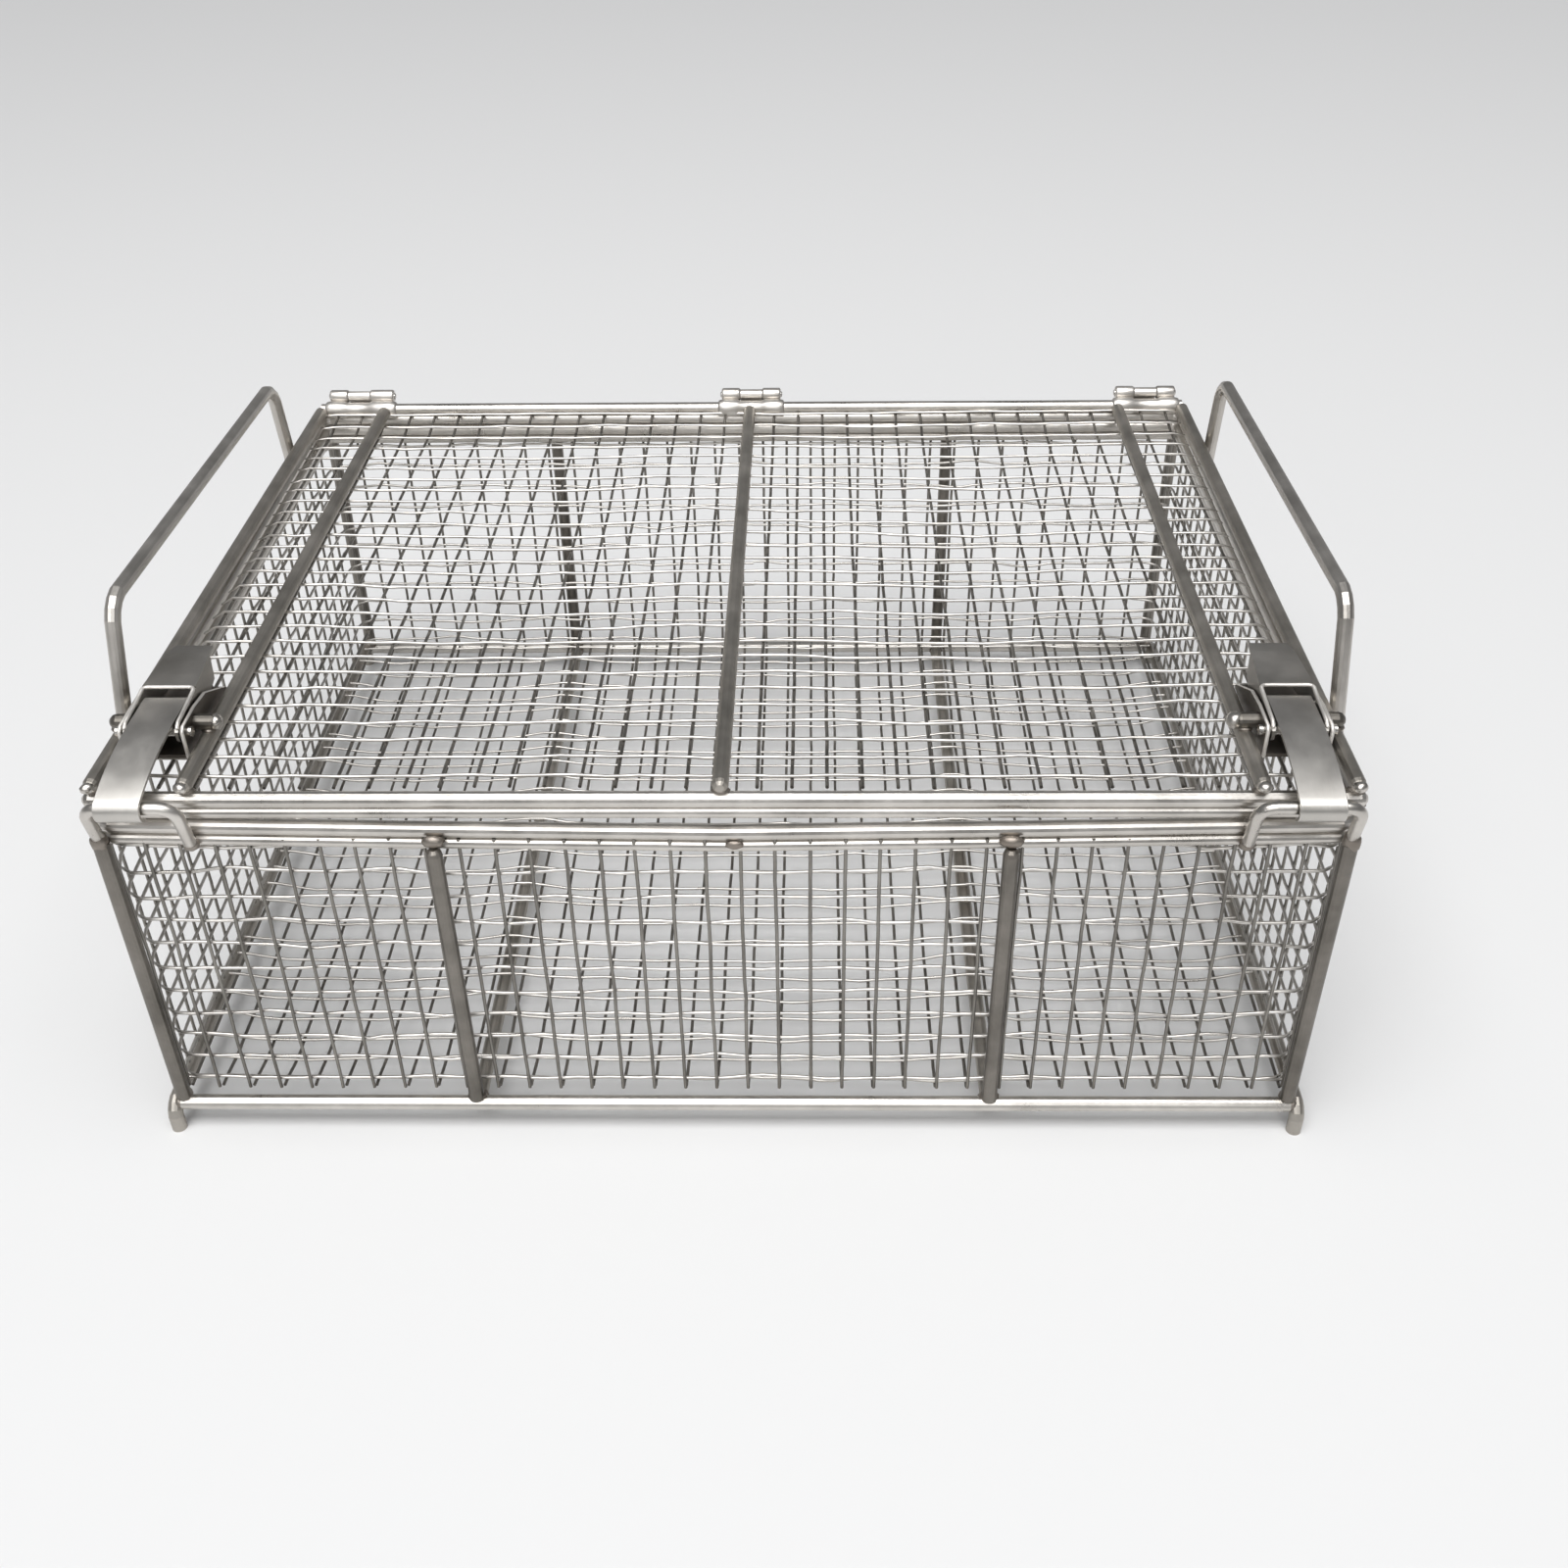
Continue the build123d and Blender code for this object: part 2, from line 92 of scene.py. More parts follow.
class Graph:
    """Adds nodes to a tree and links them in one call."""

    def __init__(self, tree):
        self.tree = tree

    def add(self, kind, values=None, **settings):
        node = self.tree.nodes.new(kind)
        for key, value in settings.items():
            setattr(node, key, value)
        for key, value in (values or {}).items():
            self.feed(node.inputs[key], value)
        return node

    def feed(self, socket, value):
        if isinstance(value, bpy.types.NodeSocket):
            self.tree.links.new(value, socket)
        else:
            socket.default_value = value

    def math(self, operation, a, b=0.0, c=0.0):
        return self.add("ShaderNodeMath", {0: a, 1: b, 2: c}, operation=operation).outputs[0]

    def vector(self, x, y, z):
        return self.add("ShaderNodeCombineXYZ", {0: x, 1: y, 2: z}).outputs[0]

    def remap(self, value, low, high, first, last):
        return self.add("ShaderNodeMapRange", {0: value, 1: low, 2: high, 3: first, 4: last}).outputs[0]


# ---- materials ------------------------------------------------------------------------------

MIX_A, MIX_B, MIX_RESULT = 6, 7, 2   # colour sockets of a mix node


def steel(name, dark, light, rough, grain=(900, 900, 900), stain=None, scratch=0.15):
    """Satin stainless steel: patchy tone, fine drawn grain, soft uneven gloss.

    Grain is the fineness of the drawn lines along X, Y and Z, in lines a metre.
    """
    mat = bpy.data.materials.new(name)
    mat.use_nodes = True
    tree = mat.node_tree
    tree.nodes.clear()
    g = Graph(tree)
    out = g.add("ShaderNodeOutputMaterial")
    surface = g.add("ShaderNodeBsdfPrincipled")
    tree.links.new(surface.outputs[0], out.inputs[0])
    place = g.add("ShaderNodeTexCoord").outputs["Object"]
    patches = g.add("ShaderNodeTexNoise",
                    {"Vector": place, "Scale": 55.0, "Detail": 4.0, "Roughness": 0.6}).outputs[0]
    tone = g.add("ShaderNodeValToRGB", {0: patches})
    tone.color_ramp.elements[0].position = 0.32
    tone.color_ramp.elements[0].color = (*dark, 1)
    tone.color_ramp.elements[1].position = 0.68
    tone.color_ramp.elements[1].color = (*light, 1)
    colour = tone.outputs[0]
    if stain:
        spots = g.add("ShaderNodeTexNoise", {"Vector": place, "Scale": 18.0, "Detail": 3.0}).outputs[0]
        mask = g.remap(spots, 0.6, 0.75, 0.0, 0.45)
        mix = g.add("ShaderNodeMix", data_type="RGBA")
        g.feed(mix.inputs["Factor"], mask)
        g.feed(mix.inputs[MIX_A], colour)
        g.feed(mix.inputs[MIX_B], (*stain, 1))
        colour = mix.outputs[MIX_RESULT]
    surface.inputs["Metallic"].default_value = 1.0
    g.feed(surface.inputs["Base Color"], colour)
    stretch = g.add("ShaderNodeMapping", {"Vector": place, "Scale": grain}).outputs[0]
    lines = g.add("ShaderNodeTexNoise", {"Vector": stretch, "Scale": 1.0, "Detail": 2.0}).outputs[0]
    gloss = g.remap(patches, 0.3, 0.7, rough - 0.06, rough + 0.08)
    uneven = g.math("MULTIPLY_ADD", lines, 0.08, gloss)
    g.feed(surface.inputs["Roughness"], uneven)
    bump = g.add("ShaderNodeBump", {"Strength": scratch, "Distance": 0.0002, "Height": lines})
    g.feed(surface.inputs["Normal"], bump.outputs[0])
    return mat


# uprights and cross rods: the same steel as the other rods, painted darker as painted shade
SHADED_UPRIGHT = steel("shaded_upright_steel", (0.14, 0.13, 0.115), (0.27, 0.25, 0.225), 0.36,
                      stain=(0.16, 0.12, 0.09))
ROD_STEEL = steel("drawn_rod_steel", (0.34, 0.32, 0.285), (0.50, 0.47, 0.43), 0.42,
                  stain=(0.22, 0.17, 0.13))
# sheet edges: near white as painted highlight along the edges
EDGE_HIGHLIGHT = steel("edge_highlight_steel", (0.78, 0.75, 0.71), (0.92, 0.89, 0.85), 0.5, scratch=0.3)
# rods that run across: the same steel as the other rods, painted lighter as painted highlight
LIT_BAR = steel("lit_rod_steel", (0.50, 0.475, 0.44), (0.70, 0.67, 0.63), 0.27)
HANDLE_STEEL = steel("handle_steel", (0.46, 0.435, 0.40), (0.66, 0.63, 0.59), 0.34)
# mesh wires: one steel in two tones, lighter across as painted highlight and darker along as painted shade
LIT_WIRE = steel("lit_wire_steel", (0.52, 0.495, 0.46), (0.76, 0.735, 0.70), 0.28)
SHADED_WIRE = steel("shaded_wire_steel", (0.17, 0.16, 0.145), (0.32, 0.305, 0.28), 0.36)
SHEET_STEEL = steel("latch_sheet_steel", (0.36, 0.345, 0.32), (0.50, 0.48, 0.45), 0.36,
                    grain=(200, 3000, 3000), scratch=0.1)
STRAP_STEEL = steel("strap_steel", (0.50, 0.48, 0.45), (0.64, 0.62, 0.585), 0.33,
                    grain=(3000, 200, 200), scratch=0.1)
DARK_SHEET = steel("latch_base_steel", (0.13, 0.115, 0.10), (0.26, 0.235, 0.21), 0.42,
                   stain=(0.16, 0.09, 0.05))
HINGE_STEEL = steel("hinge_sheet_steel", (0.60, 0.57, 0.53), (0.78, 0.75, 0.71), 0.36)
PIN_STEEL = steel("pin_steel", (0.55, 0.53, 0.50), (0.70, 0.68, 0.65), 0.24)
WELD_STEEL = steel("weld_steel", (0.20, 0.175, 0.15), (0.38, 0.345, 0.31), 0.4,
                   stain=(0.20, 0.12, 0.07), scratch=0.5)


def paint(obj, mat):
    obj.data.materials.clear()
    obj.data.materials.append(mat)


# ---- welded wire ----------------------------------------------------------------------------

def mesh_tree():
    """Welded mesh: two crossed sets of wires that touch, each with slack and a slow bulge.

    Its inputs are in metres.
    """
    tree = bpy.data.node_groups.new("welded_wire", "GeometryNodeTree")
    face = tree.interface
    sizes = (("Width", 0.3), ("Height", 0.2), ("Pitch across", 0.0085), ("Pitch along", 0.008),
             ("Wire radius", 0.0005), ("Lift", 0.0005), ("Slack along", 0.0003),
             ("Slack across", 0.0003), ("Bulge", 0.0008), ("Overhang across", 0.003),
             ("Overhang along", 0.003), ("Seed", 1.0), ("Columns", 30), ("Rows", 20),
             ("Sides", WIRE_SIDES), ("Steps", POINTS_PER_CELL))
    for name, value in sizes:
        kind = "NodeSocketInt" if isinstance(value, int) else "NodeSocketFloat"
        socket = face.new_socket(name, in_out="INPUT", socket_type=kind)
        socket.default_value = value
    for name in ("Shaded steel along", "Lit steel across"):
        face.new_socket(name, in_out="INPUT", socket_type="NodeSocketMaterial")
    face.new_socket("Geometry", in_out="OUTPUT", socket_type="NodeSocketGeometry")
    g = Graph(tree)
    given = g.add("NodeGroupInput").outputs
    out = g.add("NodeGroupOutput")

    def wires(count, pitch, reach, cross_count, along, sign):
        """One set of wires; along is True where they run in Y."""
        spare_points = 5.0
        steps = g.math("MULTIPLY_ADD", cross_count, given["Steps"], spare_points)
        end = g.math("MULTIPLY", reach, 0.5)
        start = g.math("MULTIPLY", end, -1.0)
        line = g.add("GeometryNodeCurvePrimitiveLine")
        for socket, reached in (("Start", start), ("End", end)):
            point = (0.0, reached, 0.0) if along else (reached, 0.0, 0.0)
            g.feed(line.inputs[socket], g.vector(*point))
        dense = g.add("GeometryNodeResampleCurve", {"Curve": line.outputs[0], "Count": steps})
        span = g.math("MULTIPLY", g.math("SUBTRACT", count, 1.0), pitch)
        first = g.math("MULTIPLY", span, -0.5)
        row = g.add("GeometryNodeMeshLine", {"Count": count})
        for socket, shifted in (("Start Location", first), ("Offset", pitch)):
            point = (shifted, 0.0, 0.0) if along else (0.0, shifted, 0.0)
            g.feed(row.inputs[socket], g.vector(*point))
        spread = g.add("GeometryNodeInstanceOnPoints",
                       {"Points": row.outputs[0], "Instance": dense.outputs[0]})
        real = g.add("GeometryNodeRealizeInstances", {0: spread.outputs[0]})
        place = g.add("GeometryNodeInputPosition").outputs[0]
        at = g.add("ShaderNodeSeparateXYZ", {0: place})
        # slack: each wire wanders by its own noise, and the cube makes a few places stand out
        run, side = (1, 0) if along else (0, 1)
        own_noise = g.math("MULTIPLY", at.outputs[side], 37.0)
        slow = g.add("ShaderNodeTexNoise",
                     {"Vector": g.vector(at.outputs[run], own_noise, 0.0), "W": given["Seed"],
                      "Scale": 45.0, "Detail": 2.0}, noise_dimensions="4D").outputs[0]
        wander = g.math("MULTIPLY", g.math("SUBTRACT", slow, 0.5), 4.0)
        cube = g.math("POWER", g.math("ABSOLUTE", wander), 3.0)
        sharp = g.math("ADD", wander, g.math("MULTIPLY", cube, g.math("SIGN", wander)))
        shift = g.math("MULTIPLY", sharp, given["Slack along" if along else "Slack across"])
        bulge = g.add("ShaderNodeTexNoise",
                      {"Vector": place, "W": given["Seed"], "Scale": 11.0, "Detail": 1.0},
                      noise_dimensions="4D").outputs[0]
        heave = g.math("MULTIPLY", g.math("SUBTRACT", bulge, 0.5), given["Bulge"])
        rise = g.math("MULTIPLY_ADD", heave, 2.0, g.math("MULTIPLY", given["Lift"], sign))
        offset = g.vector(shift, 0.0, rise) if along else g.vector(0.0, shift, rise)
        moved = g.add("GeometryNodeSetPosition", {"Geometry": real.outputs[0], "Offset": offset})
        ring = g.add("GeometryNodeCurvePrimitiveCircle",
                     {"Resolution": given["Sides"], "Radius": given["Wire radius"]})
        round_wire = g.add("GeometryNodeCurveToMesh",
                           {"Curve": moved.outputs[0], "Profile Curve": ring.outputs[0], "Fill Caps": True})
        mark = g.add("GeometryNodeStoreNamedAttribute",
                     {"Geometry": round_wire.outputs[0], "Name": "along", "Value": along},
                     data_type="BOOLEAN", domain="FACE")
        return mark.outputs[0]

    along = wires(given["Columns"], given["Pitch across"],
                  g.math("ADD", given["Height"], given["Overhang along"]), given["Rows"], True, 1.0)
    across = wires(given["Rows"], given["Pitch along"],
                   g.math("ADD", given["Width"], given["Overhang across"]), given["Columns"], False, -1.0)
    both = g.add("GeometryNodeJoinGeometry")
    tree.links.new(along, both.inputs[0])
    tree.links.new(across, both.inputs[0])
    smooth = g.add("GeometryNodeSetShadeSmooth", {"Geometry": both.outputs[0]})
    whole = g.add("GeometryNodeRealizeInstances", {0: smooth.outputs[0]})
    # the wires across get the lighter steel and those along the darker: painted highlight and painted shade
    first = g.add("GeometryNodeSetMaterial",
                  {"Geometry": whole.outputs[0], "Material": given["Lit steel across"]})
    runs_along = g.add("GeometryNodeInputNamedAttribute", {"Name": "along"}, data_type="BOOLEAN").outputs[0]
    done = g.add("GeometryNodeSetMaterial", {"Geometry": first.outputs[0], "Selection": runs_along,
                                             "Material": given["Shaded steel along"]})
    tree.links.new(done.outputs[0], out.inputs[0])
    return tree


MESH_TREE = mesh_tree()


def welded(name, columns, rows, slack, bulge, over, seed, across=MESH_PITCH, along=LID_ROW_PITCH,
           lift=WIRE_R):
    """A flat panel as a plain mesh, in metres, lying in XY about the origin.

    The wires that run in Y lie above the others by twice the lift. Slack is given for the wires
    in Y and then for those in X; over is how far the wires reach past the last crossing in X, Y.
    """
    holder = bpy.data.objects.new(name, bpy.data.meshes.new(name))
    bpy.context.scene.collection.objects.link(holder)
    mod = holder.modifiers.new("mesh", "NODES")
    mod.node_group = MESH_TREE
    values = {"Width": (columns - 1) * across * MM, "Height": (rows - 1) * along * MM,
              "Pitch across": across * MM, "Pitch along": along * MM, "Wire radius": WIRE_R * MM,
              "Lift": lift * MM, "Slack along": slack[0] * MM, "Slack across": slack[1] * MM,
              "Bulge": bulge * MM, "Overhang across": 2 * over[0] * MM,
              "Overhang along": 2 * over[1] * MM, "Seed": seed, "Columns": columns, "Rows": rows,
              "Sides": WIRE_SIDES, "Steps": POINTS_PER_CELL,
              # wires across get the lighter steel as painted highlight, wires along the darker as painted
              # shade
              "Shaded steel along": SHADED_WIRE, "Lit steel across": LIT_WIRE}
    for item in MESH_TREE.interface.items_tree:
        if item.in_out == "INPUT" and item.name in values:
            mod[item.identifier] = values[item.name]
    depsgraph = bpy.context.evaluated_depsgraph_get()
    mesh = bpy.data.meshes.new_from_object(holder.evaluated_get(depsgraph))
    holder.modifiers.remove(mod)
    holder.data = mesh
    mesh.name = name
    return holder


def reshape(obj, rule):
    """Moves every vertex by a rule on the whole array of positions."""
    mesh = obj.data
    co = np.empty(len(mesh.vertices) * 3, dtype=np.float32)
    mesh.vertices.foreach_get("co", co)
    co = rule(co.reshape(-1, 3).astype(np.float64))
    mesh.vertices.foreach_set("co", co.astype(np.float32).ravel())
    mesh.update()
    return obj


def seat_on_lid(co):
    """Hangs the panel under the sloping lid rods, its side ends curled down to the ring."""
    set_back = 2.4
    below_rods = ROD_R + 1.0
    curl_from = HALF_X - 5.6
    curl, curl_power, curl_inward = 0.28, 1.7, 0.12
    lowest = RING_Z + 1.2
    sag = 1.3
    climb, climb_from, climb_run = 1.7, 99.0, 11.0

    x, y, w = co[:, 0], co[:, 1], co[:, 2]
    y = y + set_back * MM
    axis = (LID_Z - LID_FALL * (y / MM + HALF_Y) / (2 * HALF_Y)) * MM
    z = axis - below_rods * MM + w
    bend = np.clip(np.abs(x) / MM - curl_from, 0.0, None)
    room = np.clip(z / MM - lowest, 0.0, None)
    drop = np.minimum(curl * bend ** curl_power, room)
    z = z - drop * MM
    x = x - np.sign(x) * curl_inward * drop * MM
    # the panel sags a little between the three inner rods
    between_rods = np.sin(pi * np.clip(np.abs(x) / (LID_INNER_X * MM), 0, 1)) ** 2
    front_to_back = np.sin(pi * np.clip((y / MM + HALF_Y) / (2 * HALF_Y), 0, 1))
    z = z - sag * MM * between_rods * front_to_back
    # its back end climbs onto the ring
    z = z + climb * MM * np.clip((y / MM - climb_from) / climb_run, 0, 1)
    return np.column_stack((x, y, z))


def belt(co):
    """Wraps a flat strip round the four walls: its X follows the rounded rectangle."""
    u, v, w = co[:, 0] / MM, co[:, 1], co[:, 2] / MM
    cx, cy, r = BELT_X, BELT_Y, BELT_R
    u = np.mod(u + BELT_LENGTH / 2, BELT_LENGTH)
    x = np.zeros_like(u)
    y = np.zeros_like(u)
    nx = np.zeros_like(u)
    ny = np.zeros_like(u)
    # length, first point and way of a straight run, or length, centre and first angle of an arc:
    # they start in the middle of the back and run right, forward, left and home
    runs = (
        (LONG_RUN / 2, (0.0, cy), (1, 0)),
        (BELT_ARC, (cx - r, cy - r), 90.0),
        (SHORT_RUN, (cx, cy - r), (0, -1)),
        (BELT_ARC, (cx - r, r - cy), 0.0),
        (LONG_RUN, (cx - r, -cy), (-1, 0)),
        (BELT_ARC, (r - cx, r - cy), -90.0),
        (SHORT_RUN, (-cx, r - cy), (0, 1)),
        (BELT_ARC, (r - cx, cy - r), 180.0),
        (LONG_RUN / 2, (r - cx, cy), (1, 0)),
    )
    start = 0.0
    for length, point, way in runs:
        here = (u >= start) & (u < start + length + 1e-9)
        s = u[here] - start
        if isinstance(way, tuple):
            x[here] = point[0] + way[0] * s
            y[here] = point[1] + way[1] * s
            nx[here] = -way[1]
            ny[here] = way[0]
        else:
            angle = np.radians(way) - s / r
            x[here] = point[0] + r * np.cos(angle)
            y[here] = point[1] + r * np.sin(angle)
            nx[here] = np.cos(angle)
            ny[here] = np.sin(angle)
        start += length
    return np.column_stack(((x + nx * w) * MM, (y + ny * w) * MM, v + WALL_MID_Z * MM))


def lay_floor(co):
    """The floor panel rides up over the two cross rods and sags between them."""
    above_rods = 1.2
    sag = 2.4
    hump, hump_power = 13.0, 1.5
    inset, margin = 2.0, 12.0

    x, y, w = co[:, 0], co[:, 1], co[:, 2]
    over_rod = np.exp(-np.abs((np.abs(x) / MM - CROSS_X) / hump) ** hump_power)
    inside = (np.clip((HALF_Y - inset - np.abs(y) / MM) / margin, 0, 1)
              * np.clip((HALF_X - inset - np.abs(x) / MM) / margin, 0, 1))
    drop = sag * (1 - over_rod) * inside
    return np.column_stack((x, y, w + (FLOOR_TOP + above_rods - drop) * MM))


lid_wires = reshape(welded("lid_wires", 35, 28, slack=(0.18, 0.9), bulge=1.0, over=(4.2, 3.5),
                           lift=-WIRE_R, seed=3.0), seat_on_lid)
wall_columns = round(BELT_LENGTH / MESH_PITCH)
wall_pitch = BELT_LENGTH / wall_columns
wall_wires = reshape(welded("wall_wires", wall_columns, 11, across=wall_pitch, along=WALL_ROW_PITCH,
                            slack=(0.2, 1.1), bulge=0.9, over=(wall_pitch / 2, 3.0), seed=5.0), belt)
floor_wires = reshape(welded("floor_wires", 36, 28, along=FLOOR_ROW_PITCH, slack=(0.2, 0.9), bulge=0.5,
                             over=(2.2, 2.2), lift=-WIRE_R, seed=9.0), lay_floor)

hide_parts("lid_mesh")
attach(lid_wires, "lid")
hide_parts("mesh_front", "mesh_back", "mesh_left", "mesh_right")
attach(wall_wires, "basket")
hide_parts("mesh_floor")
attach(floor_wires, "basket")


# ---- welds ----------------------------------------------------------------------------------

def beads(name, spots, body, seed, mat=WELD_STEEL):
    """Small melted beads of metal: where they sit and their half sizes along X, Y and Z."""
    rng = np.random.default_rng(seed)
    bm = bmesh.new()
    for centre, half in spots:
        made = bmesh.ops.create_icosphere(bm, subdivisions=2, radius=1.0)
        wobble = rng.uniform(-1, 1, 3)
        for v in made["verts"]:
            lump = 1.0 + 0.12 * sin(3 * v.co.x + 5 * wobble[0]) * cos(4 * v.co.y + 3 * wobble[1])
            v.co = Vector([(centre[i] + v.co[i] * half[i] * lump) * MM for i in range(3)])
    for f in bm.faces:
        f.smooth = True
    mesh = bpy.data.meshes.new(name)
    bm.to_mesh(mesh)
    bm.free()
    obj = bpy.data.objects.new(name, mesh)
    bpy.context.scene.collection.objects.link(obj)
    paint(obj, mat)
    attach(obj, body)


# beads that both sides have at the front and at the back
frame_beads = (
    # top and foot of a middle upright
    ((MIDDLE_X, FRAME_Y - 0.9, LOW_RIM_Z + 0.6), (3.0, 1.5, 1.7)),
    ((MIDDLE_X, FRAME_Y - 0.6, FLOOR_TOP + 0.2), (2.7, 2.2, 1.6)),
    # foot of a corner upright, the side rod beside it, and its top
    ((CORNER_X + 0.2, FRAME_Y - 0.8, FLOOR_TOP), (2.4, 2.3, 1.9)),
    ((CORNER_X + 1.4, FRAME_Y, FLOOR_Z), (1.8, 2.0, 2.0)),
    ((CORNER_X + 0.1, FRAME_Y - 0.1, LOW_RIM_Z + 1.4), (2.25, 2.2, 3.2)),
    # end of a cross rod
    ((CROSS_X, FRAME_Y - 2.6, FLOOR_Z), (2.5, 1.6, 2.1)),
)
catch_weld_x = {-1: -128.5, 1: 125.9}
# a weld in the middle of the front, the frame's, those of the catch rods and of the handles
basket_spots = [((3.0, 2.1 - FRAME_Y, LOW_RIM_Z - 1.3), (2.2, 0.9, 1.3))]
for side in (-1, 1):
    for back in (-1, 1):
        basket_spots += [((side * x, back * y, z), half) for (x, y, z), half in frame_beads]
    basket_spots.append(((catch_weld_x[side], 0.9 - FRAME_Y, LOW_RIM_Z - 0.3), (2.0, 1.5, 1.7)))
    for y in HANDLE_FEET_Y:
        basket_spots.append(((side * (HALF_X + 2.6), y, RIM_Z - 0.6), (1.2, 2.6, 2.4)))
beads("basket_welds", basket_spots, "basket", 4)

# front ends of the lid rods, ends of the latches' cross rods, and the corners of the ring
lid_spots = []
for x in (-CORNER_X, -LID_INNER_X, 0.0, LID_INNER_X, CORNER_X):
    lid_spots.append(((x, 0.8 - HALF_Y, BAR_Z + 1.9), (2.3, 1.7, 1.2)))
for side in (-1, 1):
    for x in (LID_INNER_X, CORNER_X):
        lid_spots.append(((side * x, LATCH_ROD_Y, LID_Z + 1.6), (2.1, 2.1, 0.9)))
    lid_spots.append(((side * (CORNER_X + 0.2), 0.2 - HALF_Y, RING_Z + 1.7), (3.0, 1.8, 1.0)))
beads("lid_welds", lid_spots, "lid", 7)

# front tips of the lid rods, then the inner tips of the latches' cross rods: domes whose light tone is
# painted highlight
lid_tips = []
for x in (-CORNER_X, -LID_INNER_X, LID_INNER_X, CORNER_X):
    lid_tips.append(((x, -1.8 - HALF_Y, LID_Z + 0.7), (1.75, 1.6, 1.4)))
lid_tips.append(((-LID_INNER_X + 2.3, LATCH_ROD_Y, LID_Z + 3.6), (1.7, 2.15, 2.15)))
lid_tips.append(((LID_INNER_X - 2.7, LATCH_ROD_Y, LID_Z + 3.6), (2.2, 2.2, 2.2)))
beads("rod_tips", lid_tips, "lid", 12, LIT_BAR)


# ---- latch straps, lever rims and hinge rolls -------------------------------------------------

def smooth_mesh(name, verts, faces, body, mat, slot, bevel=0.0):
    """Smooth-shaded piece from points in millimetres, with its sharp edges eased if asked."""
    mesh = bpy.data.meshes.new(name)
    mesh.from_pydata([Vector(v) * MM for v in verts], [], faces)
    bm = bmesh.new()
    bm.from_mesh(mesh)
    bmesh.ops.recalc_face_normals(bm, faces=bm.faces)
    for face in bm.faces:
        face.smooth = True
    bm.to_mesh(mesh)
    bm.free()
    obj = bpy.data.objects.new(name, mesh)
    bpy.context.scene.collection.objects.link(obj)
    if bevel:
        edge = obj.modifiers.new("edge", "BEVEL")
        edge.width = bevel * MM
        edge.segments = 2
        edge.limit_method = "ANGLE"
        edge.angle_limit = radians(50)
        edge.harden_normals = True
    paint(obj, mat)
    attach(obj, body)
    return obj


def tube(path, radius, dome=1.0, steps=12, ends=4):
    """Round tube along a list of points, with domed ends, as vertices and faces.

    The radius is one number or a list with one for each point; dome is how far the ends bulge
    out, as a share of the radius.
    """
    points = [Vector(p) for p in path]
    n = len(points)
    sizes = radius if isinstance(radius, list) else [radius] * n
    ways = []
    for i in range(n):
        ways.append((points[min(i + 1, n - 1)] - points[max(i - 1, 0)]).normalized())
    up = Vector((0, 0, 1)) if abs(ways[0].z) < 0.9 else Vector((0, 1, 0))
    across = ways[0].cross(up).normalized()
    rings = []
    for i in range(n):
        across = (across - ways[i] * across.dot(ways[i])).normalized()
        rise = across.cross(ways[i])
        rings.append((points[i], across.copy(), rise, sizes[i]))
    tip = sizes[0]
    smallest = 0.02
    caps = []
    for k in range(ends, 0, -1):
        a = pi / 2 * k / ends
        caps.append((tip * sin(a) * dome, max(tip * cos(a), smallest)))
    first, last = rings[0], rings[-1]
    start = [(first[0] - ways[0] * out, first[1], first[2], r) for out, r in caps]
    stop = [(last[0] + ways[-1] * out, last[1], last[2], r) for out, r in caps[::-1]]
    rings = start + rings + stop
    verts, faces = [], []
    for at, a, b, r in rings:
        for k in range(steps):
            t = 2 * pi * k / steps
            verts.append(tuple(at + a * (r * cos(t)) + b * (r * sin(t))))
    for i in range(len(rings) - 1):
        for k in range(steps):
            m = (k + 1) % steps
            faces.append((i * steps + k, i * steps + m, (i + 1) * steps + m, (i + 1) * steps + k))
    faces.append(tuple(range(steps))[::-1])
    faces.append(tuple(range((len(rings) - 1) * steps, len(rings) * steps)))
    return verts, faces


def gather(heap, piece):
    """Adds the vertices and faces of a piece to a heap of both."""
    heap[1].extend(tuple(i + len(heap[0]) for i in face) for face in piece[1])
    heap[0].extend(piece[0])


# axes in (y, z)
BASE_PIN = (16.5 - HALF_Y, LID_Z + 4.5)
STRAP_PIN = (26.8 - HALF_Y, LID_Z + 5.3)
CATCH_BAR = (-7.0 - HALF_Y, LID_Z - 1.4)
EDGE_R = 0.5
STRAP_T = 0.9
STRAP_HALF = 5.5
STRAP_LEAN = {-1: 2.0, 1: 0.8}       # outward lean of the hooked end
LEAN_FROM = STRAP_PIN[0] - 6.0
BARREL_R = 1.5
HOOK_R = 2.85
ROLL_FROM, ROLL_TURN, ROLL_STEPS = -205, 295, 24
HOOK_FROM, HOOK_TURN, HOOK_STEPS = 118, 137, 16
ARCH_STEPS = 24


def around(centre, radius, degrees):
    """The point of a circle in (y, z) at an angle from +Y."""
    a = radians(degrees)
    return centre[0] + radius * cos(a), centre[1] + radius * sin(a)


def strap_line():
    """Centre line of a strap in (y, z): rolled end, flat, arch, crease and hook."""
    line = []
    for k in range(ROLL_STEPS + 1):
        line.append(around(STRAP_PIN, BARREL_R, ROLL_FROM + ROLL_TURN * k / ROLL_STEPS))
    crease = around(CATCH_BAR, HOOK_R, HOOK_FROM)
    start = (STRAP_PIN[0], STRAP_PIN[1] + BARREL_R)
    handle_a = (start[0] - 14.0, start[1] + 0.6)
    handle_b = (crease[0] + 9.0, crease[1] + 3.9)
    for k in range(1, ARCH_STEPS + 1):
        t = k / ARCH_STEPS
        w = ((1 - t) ** 3, 3 * t * (1 - t) ** 2, 3 * t * t * (1 - t), t ** 3)
        line.append(tuple(w[0] * start[i] + w[1] * handle_a[i] + w[2] * handle_b[i] + w[3] * crease[i]
                          for i in (0, 1)))
    for k in range(1, HOOK_STEPS + 1):
        line.append(around(CATCH_BAR, HOOK_R, HOOK_FROM + HOOK_TURN * k / HOOK_STEPS))
    return line


